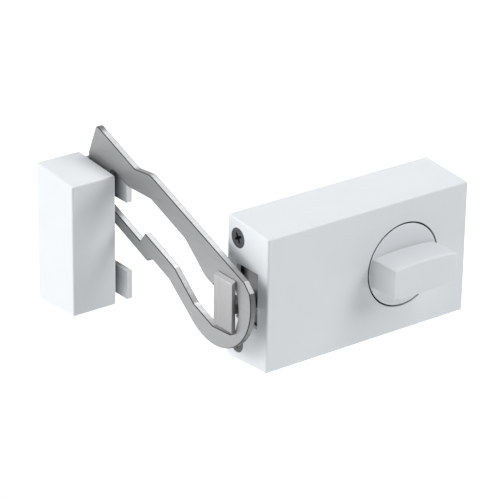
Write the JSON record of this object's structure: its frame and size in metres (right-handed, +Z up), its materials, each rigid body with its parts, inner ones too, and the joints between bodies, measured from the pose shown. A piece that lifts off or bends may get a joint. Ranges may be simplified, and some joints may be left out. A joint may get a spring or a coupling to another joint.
{
  "type": "rim lock",
  "caption": "Surface-mounted rim lock held ajar: a turn-knob bolt with a wide head hooked in the slot of a cranked limiter bar that swings on the frame's strike box.",
  "frame": {"origin": "midway between the strike's two screw holes, on its back face, which lies on the door frame", "axes": "+X from the strike to the lock case, +Y into the door and its frame, +Z up"},
  "size_m": [0.146, 0.1369, 0.0815],
  "materials": {
    "white_paint": "satin",
    "bar_steel": "satin",
    "plate_steel": "zinc plated",
    "bolt_steel": "nickel plated",
    "dark_screw": "black oxide",
    "bush_brass": "plain"
  },
  "bodies": {
    "strike": {"strike_cover": "white_paint", "strike_base": "white_paint", "strike_screw": "dark_screw", "pivot_pin": "plate_steel", "pivot_clip": "plate_steel", "pivot_washer": "plate_steel"},
    "bar": {"guard_bar": "bar_steel", "bar_bush": "bush_brass"},
    "case": {"case_cover": "white_paint", "base_plate": "plate_steel", "case_screw_left_upper": "dark_screw", "case_screw_left_lower": "dark_screw", "case_screw_right_upper": "dark_screw", "case_screw_right_lower": "dark_screw", "bolt_guide": "plate_steel", "guide_rivet_upper": "plate_steel", "guide_rivet_lower": "plate_steel", "spindle_bearing": "bush_brass"},
    "bolt": {"bolt": "bolt_steel", "bolt_rack": "plate_steel"},
    "knob": {"knob": "white_paint", "knob_spindle": "plate_steel", "pinion": "plate_steel", "knob_pin": "plate_steel", "spindle_clip": "plate_steel"}
  },
  "joints": [
    {"name": "door_travel", "type": "slide", "parent": "strike", "child": "case", "axis": [0, 1, 0], "range_m": [0, 0.034]},
    {"name": "bar_swing", "type": "hinge", "parent": "strike", "child": "bar", "pos_m": [0.01385, -0.0106, 0.0222], "axis": [1, 0, 0], "range_deg": [0, 3]},
    {"name": "knob_turn", "type": "hinge", "parent": "case", "child": "knob", "pos_m": [0.09885, -0.1217, 0.0006], "axis": [0, 1, 0], "range_deg": [0, 120]},
    {"name": "bolt_throw", "type": "slide", "parent": "case", "child": "bolt", "axis": [-1, 0, 0], "range_m": [0, 0.0083]}
  ],
  "couplings": [
    {"joint": "bar_swing", "follows": "door_travel", "rad_per_m": 1.3963},
    {"joint": "knob_turn", "follows": "bolt_throw", "rad_per_m": 250}
  ]
}
